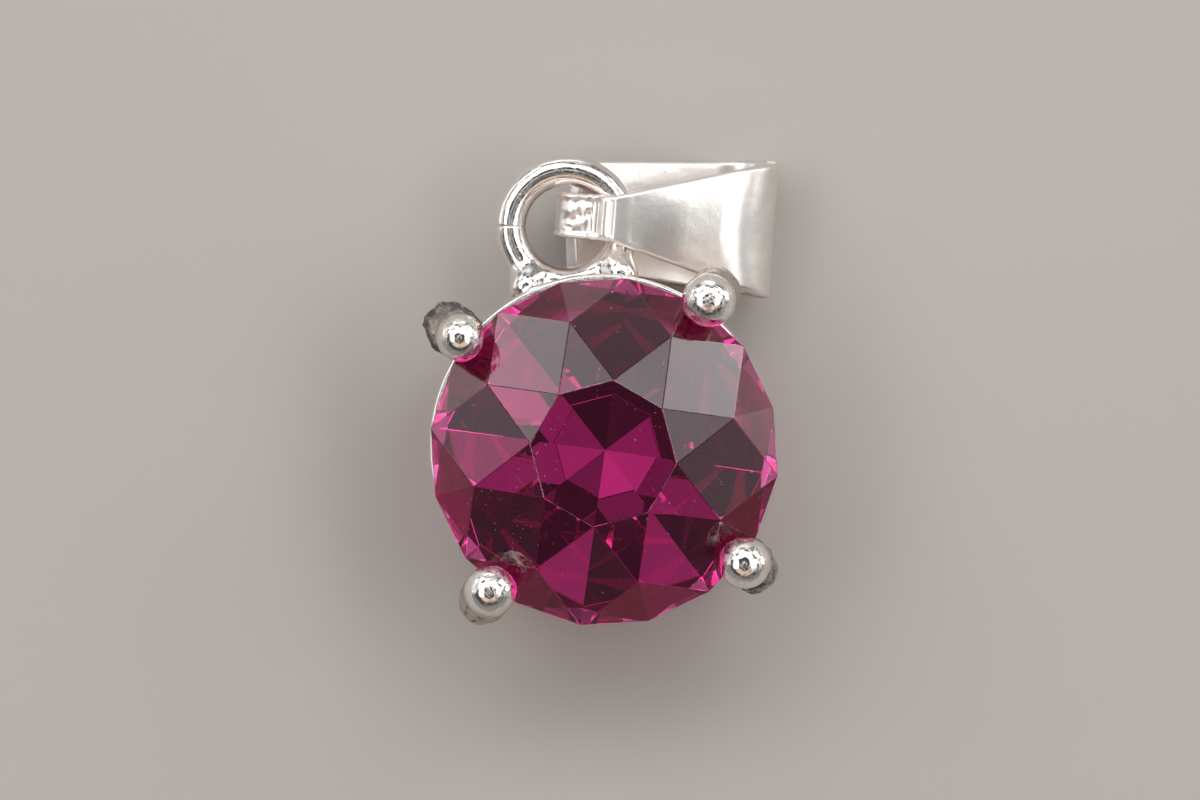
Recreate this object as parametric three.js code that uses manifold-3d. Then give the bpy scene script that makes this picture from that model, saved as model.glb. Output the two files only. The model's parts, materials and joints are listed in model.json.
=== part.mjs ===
// A garnet pendant lying on its back, in millimetres, +Z up.
// A round faceted garnet is held in an open basket of four ball-tipped claws, a gallery rail and a base rail.
// A ring is soldered behind the gallery rail, and a folded, tapered bail is threaded on it to carry a chain.
// +Y points from the stone to the ring, and +Z points out of the stone's face.
import * as THREE from "three";
import { mergeVertices } from "three/addons/utils/BufferGeometryUtils.js";
import Module from "manifold-3d";

const wasm = await Module();
wasm.setup();

// Vertices of one solid that lie closer than this are one vertex
const weldDistance = 1e-5;
// Room left between silver pieces that are soldered together
const solderGap = 0.03;
// The stone's seat is cut a little larger than the stone
const seatScale = 1.012;

// A round brilliant, measured from the middle of its girdle
const garnet = {
  girdleRadius: 4.0,
  girdleThickness: 0.12,
  tableRadius: 1.68,
  starTipRadius: 3.06,
  crownHeight: 1.45,
  pavilionDepth: 3.85,
  breakRadius: 3.3,
  turn: 29.8,
  place: new THREE.Vector3(0.05, -0.11, 4.2),
};
const mainFacets = 8;
const sector = 360 / mainFacets;

// Round wire claws, as radius from the basket's axis against height, up to the ball that grips the stone
const claw = {
  wireRadius: 0.56,
  ballRadius: 0.62,
  ballHeight: 4.85,
  sides: 12,
  steps: 12,
  rise: [
    [2.95, -0.3],
    [3.15, 0.4],
    [3.62, 1.65],
    [4.03, 2.9],
    [4.36, 3.85],
    [4.42, 4.2],
  ],
};
const clawPlaces = [
  { name: "claw_top_right", angle: 46.5, reach: 4.17 },
  { name: "claw_top_left", angle: 134.5, reach: 4.08 },
  { name: "claw_bottom_left", angle: 224.9, reach: 4.13 },
  { name: "claw_bottom_right", angle: 313.95, reach: 4.2 },
];

// The rail under the girdle flares upwards with the stone
const galleryRail = {
  foot: 2.2,
  shoulder: 3.75,
  top: 3.91,
  footOuter: 3.62,
  shoulderOuter: 3.97,
  topOuter: 3.92,
  topInner: 3.7,
  footInner: 3.3,
  segments: 72,
};

// The rail that the basket stands on
const baseRail = { inner: 1.9, outer: 2.75, height: 0.55, bevel: 0.1, segments: 60 };

const jumpRing = {
  centre: new THREE.Vector3(-0.18, 5.1, 2.06),
  radius: 1.29,
  wireRadius: 0.355,
  wireSides: 14,
  segments: 48,
};

// Two lumps of solder fix the ring to the gallery rail
const solder = { side: 1.13, reach: 3.93, height: 2.32, radius: 0.4, flatness: 0.85 };

// Sheet silver folded once round the chain's passage, seen from the side: h runs from the ring's wire to the fold
const bail = {
  thickness: 0.32,
  foldRadius: 1.04,
  foldH: 2.32,
  foldZ: 1.2,
  frontSlope: 10.8,
  backSlope: 18.6,
  frontStart: 0.3,
  backEnd: -1.05,
  wireAngle: 0.2,
  turn: -11.75,
  neckHalfWidth: 0.52,
  foldHalfWidth: 1.6,
  backHalfWidth: 1.26,
  neckEnd: -0.23,
  backEdge: -1.17,
  plateEnd: 3.5,
  tabEnd: -1.7,
  splitZ: 1.45,
  splitOverlap: 0.01,
  foldSteps: 16,
};
// The narrow end rises through the ring, turns over as a soldered tab and dips before it covers the wire
const bailTab = [
  [-1.22, 1.46],
  [-1.34, 1.76],
  [-1.36, 2.05],
  [-1.32, 2.24],
  [-1.2, 2.37],
  [-1.0, 2.41],
  [-0.78, 2.43],
  [-0.6, 2.51],
  [-0.42, 2.62],
  [-0.2, 2.68],
  [0.05, 2.685],
];

const radians = THREE.MathUtils.degToRad;

function polar(radius, degrees, z) {
  const angle = radians(degrees);
  return new THREE.Vector3(radius * Math.cos(angle), radius * Math.sin(angle), z);
}

function solidOf(geometry) {
  const bare = geometry.clone();
  bare.deleteAttribute("normal");
  bare.deleteAttribute("uv");
  const merged = mergeVertices(bare, weldDistance);
  const vertProperties = new Float32Array(merged.attributes.position.array);
  const triVerts = new Uint32Array(merged.index.array);
  return new wasm.Manifold(new wasm.Mesh({ numProp: 3, vertProperties, triVerts }));
}

function geometryOf(solid) {
  const { vertProperties, triVerts } = solid.getMesh();
  const geometry = new THREE.BufferGeometry();
  geometry.setAttribute("position", new THREE.BufferAttribute(vertProperties, 3));
  geometry.setIndex(new THREE.BufferAttribute(triVerts, 1));
  geometry.computeVertexNormals();
  return geometry;
}

function silver(name, geometry) {
  const material = new THREE.MeshStandardMaterial({ color: 0xdcd8d3, metalness: 1, roughness: 0.16 });
  material.name = "silver";
  const mesh = new THREE.Mesh(geometry, material);
  mesh.name = name;
  return mesh;
}

// A ring about the Z axis whose section is the given closed loop of [radius, height] corners
function turned(loop, segments) {
  const corners = [...loop, loop[0]].map(([radius, height]) => new THREE.Vector2(radius, height));
  return new THREE.LatheGeometry(corners, segments).rotateX(Math.PI / 2);
}

function fan(facet) {
  const triangles = [];
  for (let i = 1; i < facet.length - 1; i += 1) {
    triangles.push(facet[0], facet[i], facet[i + 1]);
  }
  return triangles;
}

// Each facet lists its corners as seen from outside, against the clock
function brilliantFacets() {
  const crownSlope = garnet.crownHeight / (garnet.girdleRadius - garnet.tableRadius);
  const pavilionSlope = garnet.pavilionDepth / garnet.girdleRadius;
  const halfSectorCosine = Math.cos(radians(sector / 2));
  const girdleTop = garnet.girdleThickness / 2;
  const tableZ = girdleTop + garnet.crownHeight;
  const culetZ = -girdleTop - garnet.pavilionDepth;
  const starTipZ = tableZ - (garnet.starTipRadius * halfSectorCosine - garnet.tableRadius) * crownSlope;
  const breakZ = culetZ + garnet.breakRadius * halfSectorCosine * pavilionSlope;

  const around = (count, radius, offset, z) =>
    Array.from({ length: count }, (_, k) => polar(radius, (k + offset) * (360 / count), z));
  const table = around(mainFacets, garnet.tableRadius, 0, tableZ);
  const starTips = around(mainFacets, garnet.starTipRadius, 0.5, starTipZ);
  const breaks = around(mainFacets, garnet.breakRadius, 0, breakZ);
  const edge = around(2 * mainFacets, garnet.girdleRadius, 0, girdleTop);
  const foot = around(2 * mainFacets, garnet.girdleRadius, 0, -girdleTop);
  const culet = new THREE.Vector3(0, 0, culetZ);

  const facets = [table];
  for (let k = 0; k < mainFacets; k += 1) {
    const next = (k + 1) % mainFacets;
    const last = (k + mainFacets - 1) % mainFacets;
    const here = 2 * k;
    const before = 2 * last + 1;
    const after = here + 1;
    const beyond = 2 * next;
    facets.push([table[k], starTips[k], table[next]]);
    facets.push([table[k], starTips[last], edge[here], starTips[k]]);
    facets.push([starTips[k], edge[here], edge[after]]);
    facets.push([starTips[k], edge[after], edge[beyond]]);
    facets.push([edge[here], foot[here], foot[after], edge[after]]);
    facets.push([edge[after], foot[after], foot[beyond], edge[beyond]]);
    facets.push([breaks[k], foot[after], foot[here]]);
    facets.push([breaks[k], foot[here], foot[before]]);
    facets.push([culet, breaks[next], foot[after], breaks[k]]);
  }
  return facets;
}

function garnetGeometry() {
  return new THREE.BufferGeometry().setFromPoints(brilliantFacets().flatMap(fan));
}

function makeGarnet(geometry) {
  const material = new THREE.MeshStandardMaterial({
    color: 0x8a1250,
    metalness: 0,
    roughness: 0.02,
    transparent: true,
    opacity: 0.8,
    flatShading: true,
  });
  material.name = "garnet";
  const mesh = new THREE.Mesh(geometry, material);
  mesh.name = "garnet";
  mesh.position.copy(garnet.place);
  mesh.rotation.z = radians(garnet.turn);
  return mesh;
}

// The hollow that the stone fills, in the pendant's frame
function stoneSeat(geometry) {
  const place = new THREE.Matrix4().makeTranslation(garnet.place);
  const turn = new THREE.Matrix4().makeRotationZ(radians(garnet.turn));
  const grown = new THREE.Matrix4().makeScale(seatScale, seatScale, seatScale);
  return solidOf(geometry.clone().applyMatrix4(place.multiply(turn).multiply(grown)));
}

// The half space above the surface that the basket stands on
function aboveGround() {
  const size = 20;
  return solidOf(new THREE.BoxGeometry(size, size, size).translate(0, 0, size / 2));
}

function clawSolid({ angle, reach }) {
  const centres = [...claw.rise, [reach, claw.ballHeight]].map(([radius, z]) => new THREE.Vector3(radius, 0, z));
  const section = new THREE.Shape().absarc(0, 0, claw.wireRadius, 0, 2 * Math.PI);
  const wire = new THREE.ExtrudeGeometry(section, {
    curveSegments: claw.sides / 2,
    steps: claw.steps,
    extrudePath: new THREE.CatmullRomCurve3(centres),
  });
  const ball = new THREE.SphereGeometry(claw.ballRadius, claw.sides + 2, claw.sides - 2);
  ball.rotateX(Math.PI / 2).translate(reach, 0, claw.ballHeight);
  const turn = radians(angle);
  return solidOf(wire.rotateZ(turn)).add(solidOf(ball.rotateZ(turn)));
}

// grow makes the tool that notches the claws and the ring for this rail
function galleryRailSolid(grow) {
  const rail = galleryRail;
  const loop = [
    [rail.footInner - grow, rail.foot - grow],
    [rail.footOuter + grow, rail.foot - grow],
    [rail.shoulderOuter + grow, rail.shoulder],
    [rail.topOuter + grow, rail.top + grow],
    [rail.topInner - grow, rail.top + grow],
  ];
  return solidOf(turned(loop, rail.segments));
}

function baseRailSolid(grow) {
  const { inner, outer, height, bevel, segments } = baseRail;
  const loop = [
    [inner - grow, -grow],
    [outer + grow, -grow],
    [outer + grow, height - bevel + grow],
    [outer - bevel + grow, height + grow],
    [inner + bevel - grow, height + grow],
    [inner - grow, height - bevel + grow],
  ];
  return solidOf(turned(loop, segments));
}

function jumpRingSolid() {
  const { centre, radius, wireRadius, wireSides, segments } = jumpRing;
  const ring = new THREE.TorusGeometry(radius, wireRadius, wireSides, segments);
  return solidOf(ring.translate(centre.x, centre.y, centre.z));
}

function solderLump(side) {
  const lump = new THREE.SphereGeometry(solder.radius, 12, 8).scale(1, 1, solder.flatness);
  return solidOf(lump.translate(jumpRing.centre.x + side * solder.side, solder.reach, solder.height));
}

// Moves each corner of a closed outline to its right by the same distance
function beside(outline, distance) {
  return outline.map((corner, index) => {
    const arriving = corner.clone().sub(outline.at(index - 1)).normalize();
    const leaving = outline[(index + 1) % outline.length].clone().sub(corner).normalize();
    const tangent = arriving.add(leaving).normalize();
    const step = distance / tangent.dot(leaving);
    return new THREE.Vector2(corner.x + tangent.y * step, corner.y - tangent.x * step);
  });
}

// The middle of the sheet: round the fold, back under the ring, up through it and over its wire
function bailCentreline() {
  const { foldH, foldZ, foldRadius, frontSlope, backSlope, frontStart, backEnd, foldSteps } = bail;
  const frontAngle = radians(90 - frontSlope);
  const backAngle = radians(-90 - backSlope);
  const fold = new THREE.EllipseCurve(foldH, foldZ, foldRadius, foldRadius, frontAngle, backAngle, true);
  const front = fold.getPoint(0);
  const back = fold.getPoint(1);
  const backTop = back.y + (back.x - backEnd) * Math.tan(radians(backSlope));
  const frontTop = front.y + (front.x - frontStart) * Math.tan(radians(frontSlope));
  const corners = [[backEnd, backTop], ...bailTab, [frontStart, frontTop]];
  const tab = new THREE.SplineCurve(corners.map(([h, z]) => new THREE.Vector2(h, z)));
  return [...fold.getPoints(foldSteps), ...tab.getPoints(2 * corners.length)];
}

// The folded sheet at one width all along
function bailBand() {
  const centreline = bailCentreline();
  const section = new THREE.Shape(beside(centreline, -bail.thickness / 2));
  section.holes.push(new THREE.Path(beside(centreline, bail.thickness / 2).reverse()));
  const depth = 2 * bail.foldHalfWidth;
  const band = new THREE.ExtrudeGeometry(section, { depth, bevelEnabled: false });
  return solidOf(band.rotateX(Math.PI / 2).translate(0, bail.foldHalfWidth, 0));
}

// Cuts the band to a plan that is the same on both sides of its middle line
function bailPlan(halfOutline, low, high) {
  const left = halfOutline.map(([h, half]) => new THREE.Vector2(h, half));
  const right = halfOutline.map(([h, half]) => new THREE.Vector2(h, -half)).reverse();
  const plan = new THREE.Shape([...left, ...right]);
  return solidOf(new THREE.ExtrudeGeometry(plan, { depth: high - low, bevelEnabled: false }).translate(0, 0, low));
}

function makeBail() {
  const { neckHalfWidth, foldHalfWidth, backHalfWidth, tabEnd, neckEnd, backEdge } = bail;
  const { plateEnd, splitZ, splitOverlap } = bail;
  const overallTop = 4;
  const overallFoot = -1;
  const frontPlan = bailPlan(
    [[tabEnd, neckHalfWidth], [neckEnd, neckHalfWidth], [plateEnd, foldHalfWidth]],
    splitZ - splitOverlap,
    overallTop,
  );
  const backPlan = bailPlan(
    [[tabEnd, neckHalfWidth], [backEdge, neckHalfWidth], [backEdge, backHalfWidth], [plateEnd, foldHalfWidth]],
    overallFoot,
    splitZ + splitOverlap,
  );
  const band = bailBand();
  const mesh = silver("bail", geometryOf(band.intersect(frontPlan).add(band.intersect(backPlan))));
  const wire = polar(jumpRing.radius, bail.wireAngle, 0);
  mesh.position.set(jumpRing.centre.x + wire.x, jumpRing.centre.y + wire.y, 0);
  mesh.rotation.z = radians(bail.turn);
  return mesh;
}

function makeSetting(seat) {
  const setting = new THREE.Group();
  const railTool = galleryRailSolid(solderGap);
  const baseTool = baseRailSolid(solderGap);
  const ground = aboveGround();
  setting.add(silver("gallery_rail", geometryOf(galleryRailSolid(0).subtract(seat))));
  setting.add(silver("base_rail", geometryOf(baseRailSolid(0))));
  for (const place of clawPlaces) {
    const notched = clawSolid(place).subtract(railTool).subtract(baseTool).subtract(seat);
    setting.add(silver(place.name, geometryOf(notched.intersect(ground))));
  }
  const ring = jumpRingSolid().add(solderLump(1)).add(solderLump(-1)).subtract(railTool);
  setting.add(silver("jump_ring", geometryOf(ring)));
  return setting;
}

// The origin is on the ground under the middle of the whole pendant
function makePendant() {
  const stone = garnetGeometry();
  const pendant = new THREE.Group();
  pendant.add(makeGarnet(stone), makeSetting(stoneSeat(stone)), makeBail());
  const box = new THREE.Box3().setFromObject(pendant, true);
  const middle = box.getCenter(new THREE.Vector3());
  pendant.position.set(-middle.x, -middle.y, -box.min.z);
  return pendant;
}

export default makePendant();
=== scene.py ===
"""Garnet pendant: the stone, its silver claw basket, ring and bail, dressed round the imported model."""

import json
import math

import bmesh
import bpy
from mathutils import Matrix, Vector, noise


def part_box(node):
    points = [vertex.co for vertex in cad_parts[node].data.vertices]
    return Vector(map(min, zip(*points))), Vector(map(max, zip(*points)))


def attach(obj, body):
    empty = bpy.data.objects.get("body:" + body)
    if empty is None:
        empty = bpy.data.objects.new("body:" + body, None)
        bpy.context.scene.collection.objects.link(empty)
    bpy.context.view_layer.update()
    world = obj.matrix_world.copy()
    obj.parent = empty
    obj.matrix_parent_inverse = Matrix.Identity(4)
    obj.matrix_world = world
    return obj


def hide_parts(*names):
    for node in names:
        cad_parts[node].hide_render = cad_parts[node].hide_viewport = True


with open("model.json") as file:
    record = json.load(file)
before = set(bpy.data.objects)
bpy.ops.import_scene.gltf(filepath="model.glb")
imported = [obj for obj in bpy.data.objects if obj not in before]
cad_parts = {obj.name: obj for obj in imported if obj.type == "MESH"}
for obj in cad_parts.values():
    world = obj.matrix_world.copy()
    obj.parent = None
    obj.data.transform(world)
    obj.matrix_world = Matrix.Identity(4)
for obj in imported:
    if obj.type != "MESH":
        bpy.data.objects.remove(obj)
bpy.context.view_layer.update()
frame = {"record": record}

bl_info = {
    "name": "Garnet Pendant",
    "version": (1, 0, 0),
    "blender": (4, 5, 0),
    "location": "3D View > Sidebar > Pendant",
    "description": "Makes a claw-set garnet pendant with a ring and a folded bail",
    "category": "Add Mesh",
}

# Shapes are worked out in millimetres from the basket's axis, then placed in the frame in metres
MM = 0.001
BASE_LOW, BASE_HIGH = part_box("base_rail")
AXIS = Vector(((BASE_LOW[0] + BASE_HIGH[0]) / 2, (BASE_LOW[1] + BASE_HIGH[1]) / 2, 0.0))
SWING = frame["record"]["behaviour"]["joints"][0]
RING_CENTRE = (Vector(SWING["pos_m"]) - AXIS) / MM

# The round brilliant, measured from the middle of its girdle
MAIN_FACETS = 8
GIRDLE_RADIUS = 4.0
GIRDLE_THICKNESS = 0.12
TABLE_RADIUS = 1.68
STAR_TIP_RADIUS = 3.06
CROWN_HEIGHT = 1.45
PAVILION_DEPTH = 3.85
BREAK_RADIUS = 3.3
STONE_TURN = math.radians(29.8)
STONE_PLACE = Vector((0.05, -0.11, 4.2))

# The claws, as radius from the axis against height, up to the ball
CLAW_RISE = ((2.95, -0.3), (3.15, 0.4), (3.62, 1.65), (4.03, 2.9), (4.36, 3.85), (4.42, 4.2))
CLAW_BALL_HEIGHT = 4.85
# Each claw: degrees round the axis, reach and radius of its ball, and how crumpled its shoulder is
CLAW_PLACES = {
    "claw_top_right": (46.5, 4.17, 0.62, 0.35),
    "claw_top_left": (134.5, 4.08, 0.55, 1.0),
    "claw_bottom_left": (224.9, 4.13, 0.60, 0.5),
    "claw_bottom_right": (313.95, 4.20, 0.60, 0.75),
}

# The rails' sections, as radius against height, against the clock from the inner foot
GALLERY_SECTION = ((3.3, 2.2), (3.62, 2.2), (3.97, 3.75), (3.93, 3.91), (3.7, 3.91))
BASE_SECTION = ((1.9, 0.0), (2.75, 0.0), (2.75, 0.55), (1.9, 0.55))

# The ring: radius of its middle line and of its wire, and the places and size of its two lumps of solder
RING_RADIUS = 1.29
RING_WIRE = 0.355
SOLDER_SIDE = 1.13
SOLDER_REACH = 3.84
SOLDER_HEIGHT = 2.32
SOLDER_RADIUS = 0.4

# The bail seen from its side: h runs from the ring's wire to the fold, z is the height
BAIL_THICKNESS = 0.32
FOLD_RADIUS = 1.04
FOLD_H = 2.32
FOLD_Z = 1.2
FRONT_SLOPE = math.radians(10.8)
BACK_SLOPE = math.radians(18.6)
FRONT_START = 0.3
BACK_END = -1.05
BAIL_TAB = (
    (-1.22, 1.46),
    (-1.34, 1.76),
    (-1.36, 2.05),
    (-1.32, 2.24),
    (-1.2, 2.37),
    (-1.0, 2.41),
    (-0.78, 2.43),
    (-0.6, 2.51),
    (-0.42, 2.62),
    (-0.2, 2.68),
    (0.05, 2.685),
)
NECK_HALF_WIDTH = 0.52
FOLD_HALF_WIDTH = 1.6
BACK_HALF_WIDTH = 1.26
NECK_END = -0.23
PLATE_END = 3.5
BACK_EDGE = -1.17
WIRE_ANGLE = math.radians(0.2)
BAIL_TURN = math.radians(-11.75)


def in_frame(point):
    """A point in millimetres from the basket's axis, in the frame's metres."""
    return AXIS + Vector(point) * MM


def polar(radius, angle, z):
    return Vector((radius * math.cos(angle), radius * math.sin(angle), z))


def smooth_step(low, high, value):
    t = min(max((value - low) / (high - low), 0.0), 1.0)
    return t * t * (3 - 2 * t)


def catmull(points, steps):
    """Samples of a smooth curve through the points, steps to each span, both ends included."""
    first = points[0] * 2 - points[1]
    last = points[-1] * 2 - points[-2]
    knots = [first, *points, last]
    samples = []
    for i in range(1, len(knots) - 2):
        a, b, c, d = knots[i - 1 : i + 3]
        for step in range(steps):
            t = step / steps
            bend = (a * 2 - b * 5 + c * 4 - d) * t**2
            twist = (b * 3 - a - c * 3 + d) * t**3
            samples.append((b * 2 + (c - a) * t + bend + twist) * 0.5)
    samples.append(points[-1].copy())
    return samples


# Guards against a span without length
SHORTEST_SPAN = 1e-9


def evenly(points, count, closed=False):
    """The same line with count samples at equal distances along it."""
    line = [*points, points[0]] if closed else list(points)
    reach = [0.0]
    for a, b in zip(line, line[1:]):
        reach.append(reach[-1] + (b - a).length)
    spans = count if closed else count - 1
    samples = []
    span = 0
    for k in range(count):
        target = reach[-1] * k / spans
        while span < len(line) - 2 and reach[span + 1] < target:
            span += 1
        share = (target - reach[span]) / max(reach[span + 1] - reach[span], SHORTEST_SPAN)
        samples.append(line[span].lerp(line[span + 1], min(share, 1.0)))
    return samples


def skin(rings, closed):
    """Vertices and faces over a row of rings with equal counts; an open row gets a cap at both ends."""
    count = len(rings[0])
    points = [point for ring in rings for point in ring]
    faces = []
    rows = len(rings) if closed else len(rings) - 1
    for row in range(rows):
        here = row * count
        there = ((row + 1) % len(rings)) * count
        for k in range(count):
            after = (k + 1) % count
            faces.append((here + k, here + after, there + after, there + k))
    if not closed:
        faces.append(tuple(reversed(range(count))))
        faces.append(tuple(range(len(points) - count, len(points))))
    return points, faces


def rounded(section, radius, steps):
    """A closed section with its corners rounded, as points against the clock."""
    outline = []
    for i, corner in enumerate(section):
        corner = Vector(corner)
        before = (Vector(section[i - 1]) - corner).normalized()
        after = (Vector(section[(i + 1) % len(section)]) - corner).normalized()
        half = before.angle(after) / 2
        bisector = (before + after).normalized()
        centre = corner + bisector * radius / math.sin(half)
        start = corner + before * radius / math.tan(half) - centre
        turn = math.pi - 2 * half
        for step in range(steps + 1):
            angle = turn * step / steps
            outline.append(centre + Matrix.Rotation(angle, 2) @ start)
    return outline


def finished(piece, material, node, body, sharp=35.0):
    """Places a piece in the frame, gives it its material and its body, and hides the CAD node it stands
    for.
    """
    piece.data.transform(Matrix.Translation(AXIS) @ Matrix.Scale(MM, 4))
    piece.data.materials.clear()
    piece.data.materials.append(material)
    piece.data.shade_smooth()
    piece.data.set_sharp_from_angle(angle=math.radians(sharp))
    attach(piece, body)
    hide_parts(node)


def piece_from(name, points, faces):
    """A mesh object from points in millimetres from the basket's axis."""
    mesh = bpy.data.meshes.new(name)
    mesh.from_pydata(points, [], faces)
    mesh.validate()
    piece = bpy.data.objects.new(name, mesh)
    bpy.context.scene.collection.objects.link(piece)
    return piece


def facing_out(piece):
    shape = bmesh.new()
    shape.from_mesh(piece.data)
    bmesh.ops.recalc_face_normals(shape, faces=shape.faces)
    shape.to_mesh(piece.data)
    shape.free()


def cut(piece, tool):
    """Takes the tool's solid out of the piece."""
    change = piece.modifiers.new("cut", "BOOLEAN")
    change.operation = "DIFFERENCE"
    change.solver = "MANIFOLD"
    change.object = tool
    bpy.context.view_layer.update()
    result = bpy.data.meshes.new_from_object(piece.evaluated_get(bpy.context.evaluated_depsgraph_get()))
    piece.modifiers.clear()
    piece.data = result


def brilliant():
    """Corners and facets of the stone in millimetres, facets listed against the clock from outside."""
    sector = 2 * math.pi / MAIN_FACETS
    crown_slope = CROWN_HEIGHT / (GIRDLE_RADIUS - TABLE_RADIUS)
    girdle_top = GIRDLE_THICKNESS / 2
    table_z = girdle_top + CROWN_HEIGHT
    culet_z = -girdle_top - PAVILION_DEPTH
    star_z = table_z - (STAR_TIP_RADIUS * math.cos(sector / 2) - TABLE_RADIUS) * crown_slope
    break_z = culet_z + BREAK_RADIUS * math.cos(sector / 2) * PAVILION_DEPTH / GIRDLE_RADIUS
    corners = []

    def around(count, radius, offset, z):
        start = len(corners)
        corners.extend(polar(radius, (k + offset) * 2 * math.pi / count, z) for k in range(count))
        return [start + k for k in range(count)]

    table = around(MAIN_FACETS, TABLE_RADIUS, 0, table_z)
    tips = around(MAIN_FACETS, STAR_TIP_RADIUS, 0.5, star_z)
    breaks = around(MAIN_FACETS, BREAK_RADIUS, 0, break_z)
    edge = around(2 * MAIN_FACETS, GIRDLE_RADIUS, 0, girdle_top)
    foot = around(2 * MAIN_FACETS, GIRDLE_RADIUS, 0, -girdle_top)
    corners.append(Vector((0, 0, culet_z)))
    culet = len(corners) - 1
    facets = [table]
    for k in range(MAIN_FACETS):
        after = (k + 1) % MAIN_FACETS
        here, half, far = 2 * k, 2 * k + 1, 2 * after
        facets += [
            (table[k], tips[k], table[after]),
            (table[k], tips[k - 1], edge[here], tips[k]),
            (tips[k], edge[here], edge[half]),
            (tips[k], edge[half], edge[far]),
            (edge[here], foot[here], foot[half], edge[half]),
            (edge[half], foot[half], foot[far], edge[far]),
            (breaks[k], foot[half], foot[here]),
            (breaks[k], foot[here], foot[here - 1]),
            (culet, breaks[after], foot[half], breaks[k]),
        ]
    return corners, facets


def stone_object(name, grow):
    """The stone as an object, each corner moved out from its middle by the factor grow."""
    corners, facets = brilliant()
    turn = Matrix.Rotation(STONE_TURN, 3, "Z")
    return piece_from(name, [STONE_PLACE + turn @ (corner * grow) for corner in corners], facets)


WHITE = (1.0, 1.0, 1.0, 1.0)


class Field:
    """One value of a material's nodes. Arithmetic on it adds the Math nodes that work it out."""

    def __init__(self, finish, socket):
        self.finish = finish
        self.socket = socket

    def math(self, operation, *values):
        return self.finish.node("ShaderNodeMath", {"operation": operation}, dict(enumerate(values)))

    def __add__(self, other):
        return self.math("ADD", self, other)

    def __sub__(self, other):
        return self.math("SUBTRACT", self, other)

    def __rsub__(self, other):
        return self.math("SUBTRACT", other, self)

    def __mul__(self, other):
        return self.math("MULTIPLY", self, other)

    __radd__ = __add__
    __rmul__ = __mul__

    def size(self):
        return self.math("ABSOLUTE", self)

    def band(self, low, high):
        """0 below low, 1 above high, and smooth between."""
        return self.finish.node(
            "ShaderNodeMapRange",
            {"interpolation_type": "SMOOTHSTEP"},
            {"Value": self, "From Min": low, "From Max": high},
        )


class Finish:
    """The nodes of a material, a lamp or the room under construction."""

    def __init__(self, owner):
        self.owner = owner
        owner.use_nodes = True
        self.tree = owner.node_tree
        self.tree.nodes.clear()

    def node(self, kind, settings=None, inputs=None, output=0):
        """Adds a node: its settings first, then the values or links of its sockets."""
        node = self.tree.nodes.new(kind)
        for name, value in (settings or {}).items():
            setattr(node, name, value)
        for key, value in (inputs or {}).items():
            if isinstance(value, Field):
                self.tree.links.new(value.socket, node.inputs[key])
            else:
                node.inputs[key].default_value = value
        return Field(self, node.outputs[output])

    def millimetres(self):
        """The place on the piece in the frame, in millimetres."""
        place = self.node("ShaderNodeTexCoord", output="Object")
        scale = {0: place, "Scale": 1 / MM}
        return self.node("ShaderNodeVectorMath", {"operation": "SCALE"}, scale)

    def noise(self, place, per_mm, detail=3.0, roughness=0.5, distortion=0.0):
        sockets = {"Vector": place, "Scale": per_mm, "Detail": detail, "Roughness": roughness}
        return self.node("ShaderNodeTexNoise", None, {**sockets, "Distortion": distortion})

    def cells(self, place, per_mm):
        """Distance to the nearest of scattered points, in cell sizes."""
        return self.node("ShaderNodeTexVoronoi", None, {"Vector": place, "Scale": per_mm})

    def height(self, place):
        """The height of a place, or of a direction."""
        return self.node("ShaderNodeSeparateXYZ", None, {0: place}, output=2)

    def blend(self, share, low, high):
        """One colour where share is 0, the other where it is 1."""
        settings = {"data_type": "RGBA", "clamp_factor": True}
        colours = {0: share, 6: low, 7: high}
        return self.node("ShaderNodeMix", settings, colours, output=2)

    def bump(self, height, depth_mm):
        sockets = {"Height": height, "Distance": depth_mm * MM, "Strength": 1.0}
        return self.node("ShaderNodeBump", None, sockets)

    def shader(self, **inputs):
        sockets = {name.replace("_", " "): value for name, value in inputs.items()}
        return self.node("ShaderNodeBsdfPrincipled", None, sockets)

    def done(self, surface, volume=None):
        kinds = {bpy.types.AreaLight: "Light", bpy.types.World: "World"}
        target = self.tree.nodes.new("ShaderNodeOutput" + kinds.get(type(self.owner), "Material"))
        self.tree.links.new(surface.socket, target.inputs["Surface"])
        if volume:
            self.tree.links.new(volume.socket, target.inputs["Volume"])
        return self.owner


# How fine the silver's features are, in waves or cells per millimetre
CLOUDS_PER_MM = 0.9
DENTS_PER_MM = 3.2
CREASES_PER_MM = 2.6
GRAIN_PER_MM = 34.0
SPOTS_PER_MM = 2.2
PITS_PER_MM = 8.0
# Creases: their colour, and how fast they fade to both sides
CREASE_COLOUR = (0.2, 0.16, 0.15, 1.0)
CREASE_FADE = 26.0
# Noise levels between which clouds, spots and pits show
CLOUDS_SHOW = (0.35, 0.7)
SPOTS_SHOW = (0.52, 0.66)
PITS_SHOW = (0.17, 0.06)
PIT_SHARE = 0.6
# What the marks add to the roughness
CLOUD_ROUGHNESS = 0.04
GRAIN_ROUGHNESS = 0.06
SATIN_ROUGHNESS = 0.1
PIT_ROUGHNESS = 0.25
# What the marks add to the relief, whose full height is in millimetres
RELIEF_HEIGHT = 0.012
DENT_RELIEF = 0.6
GRAIN_RELIEF = 0.03
SATIN_RELIEF = 0.12
PIT_RELIEF = 0.35

# The skin on a claw's shoulder: its top, the heights between which it fades out below, and its crust; the
# crust's rough relief is real, its near-black colour is painted shade
SKIN_TOP = 4.65
SKIN_FOOT = (2.2, 3.2)
SKIN_EDGE = (0.35, -0.15)
CRUST_PER_MM = 4.5
CRUST_SHOWS = (0.35, 0.15)
RAGGED_PER_MM = 1.4
RAGGED_TOP = 0.8
# How far the ragged noise moves the edge of the painted shade under the balls
RAGGED_PAINTED_SHADE = 0.5
# How much less metallic the dark crust is, as part of its painted shade
CRUST_DARKENING = 0.85
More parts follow.
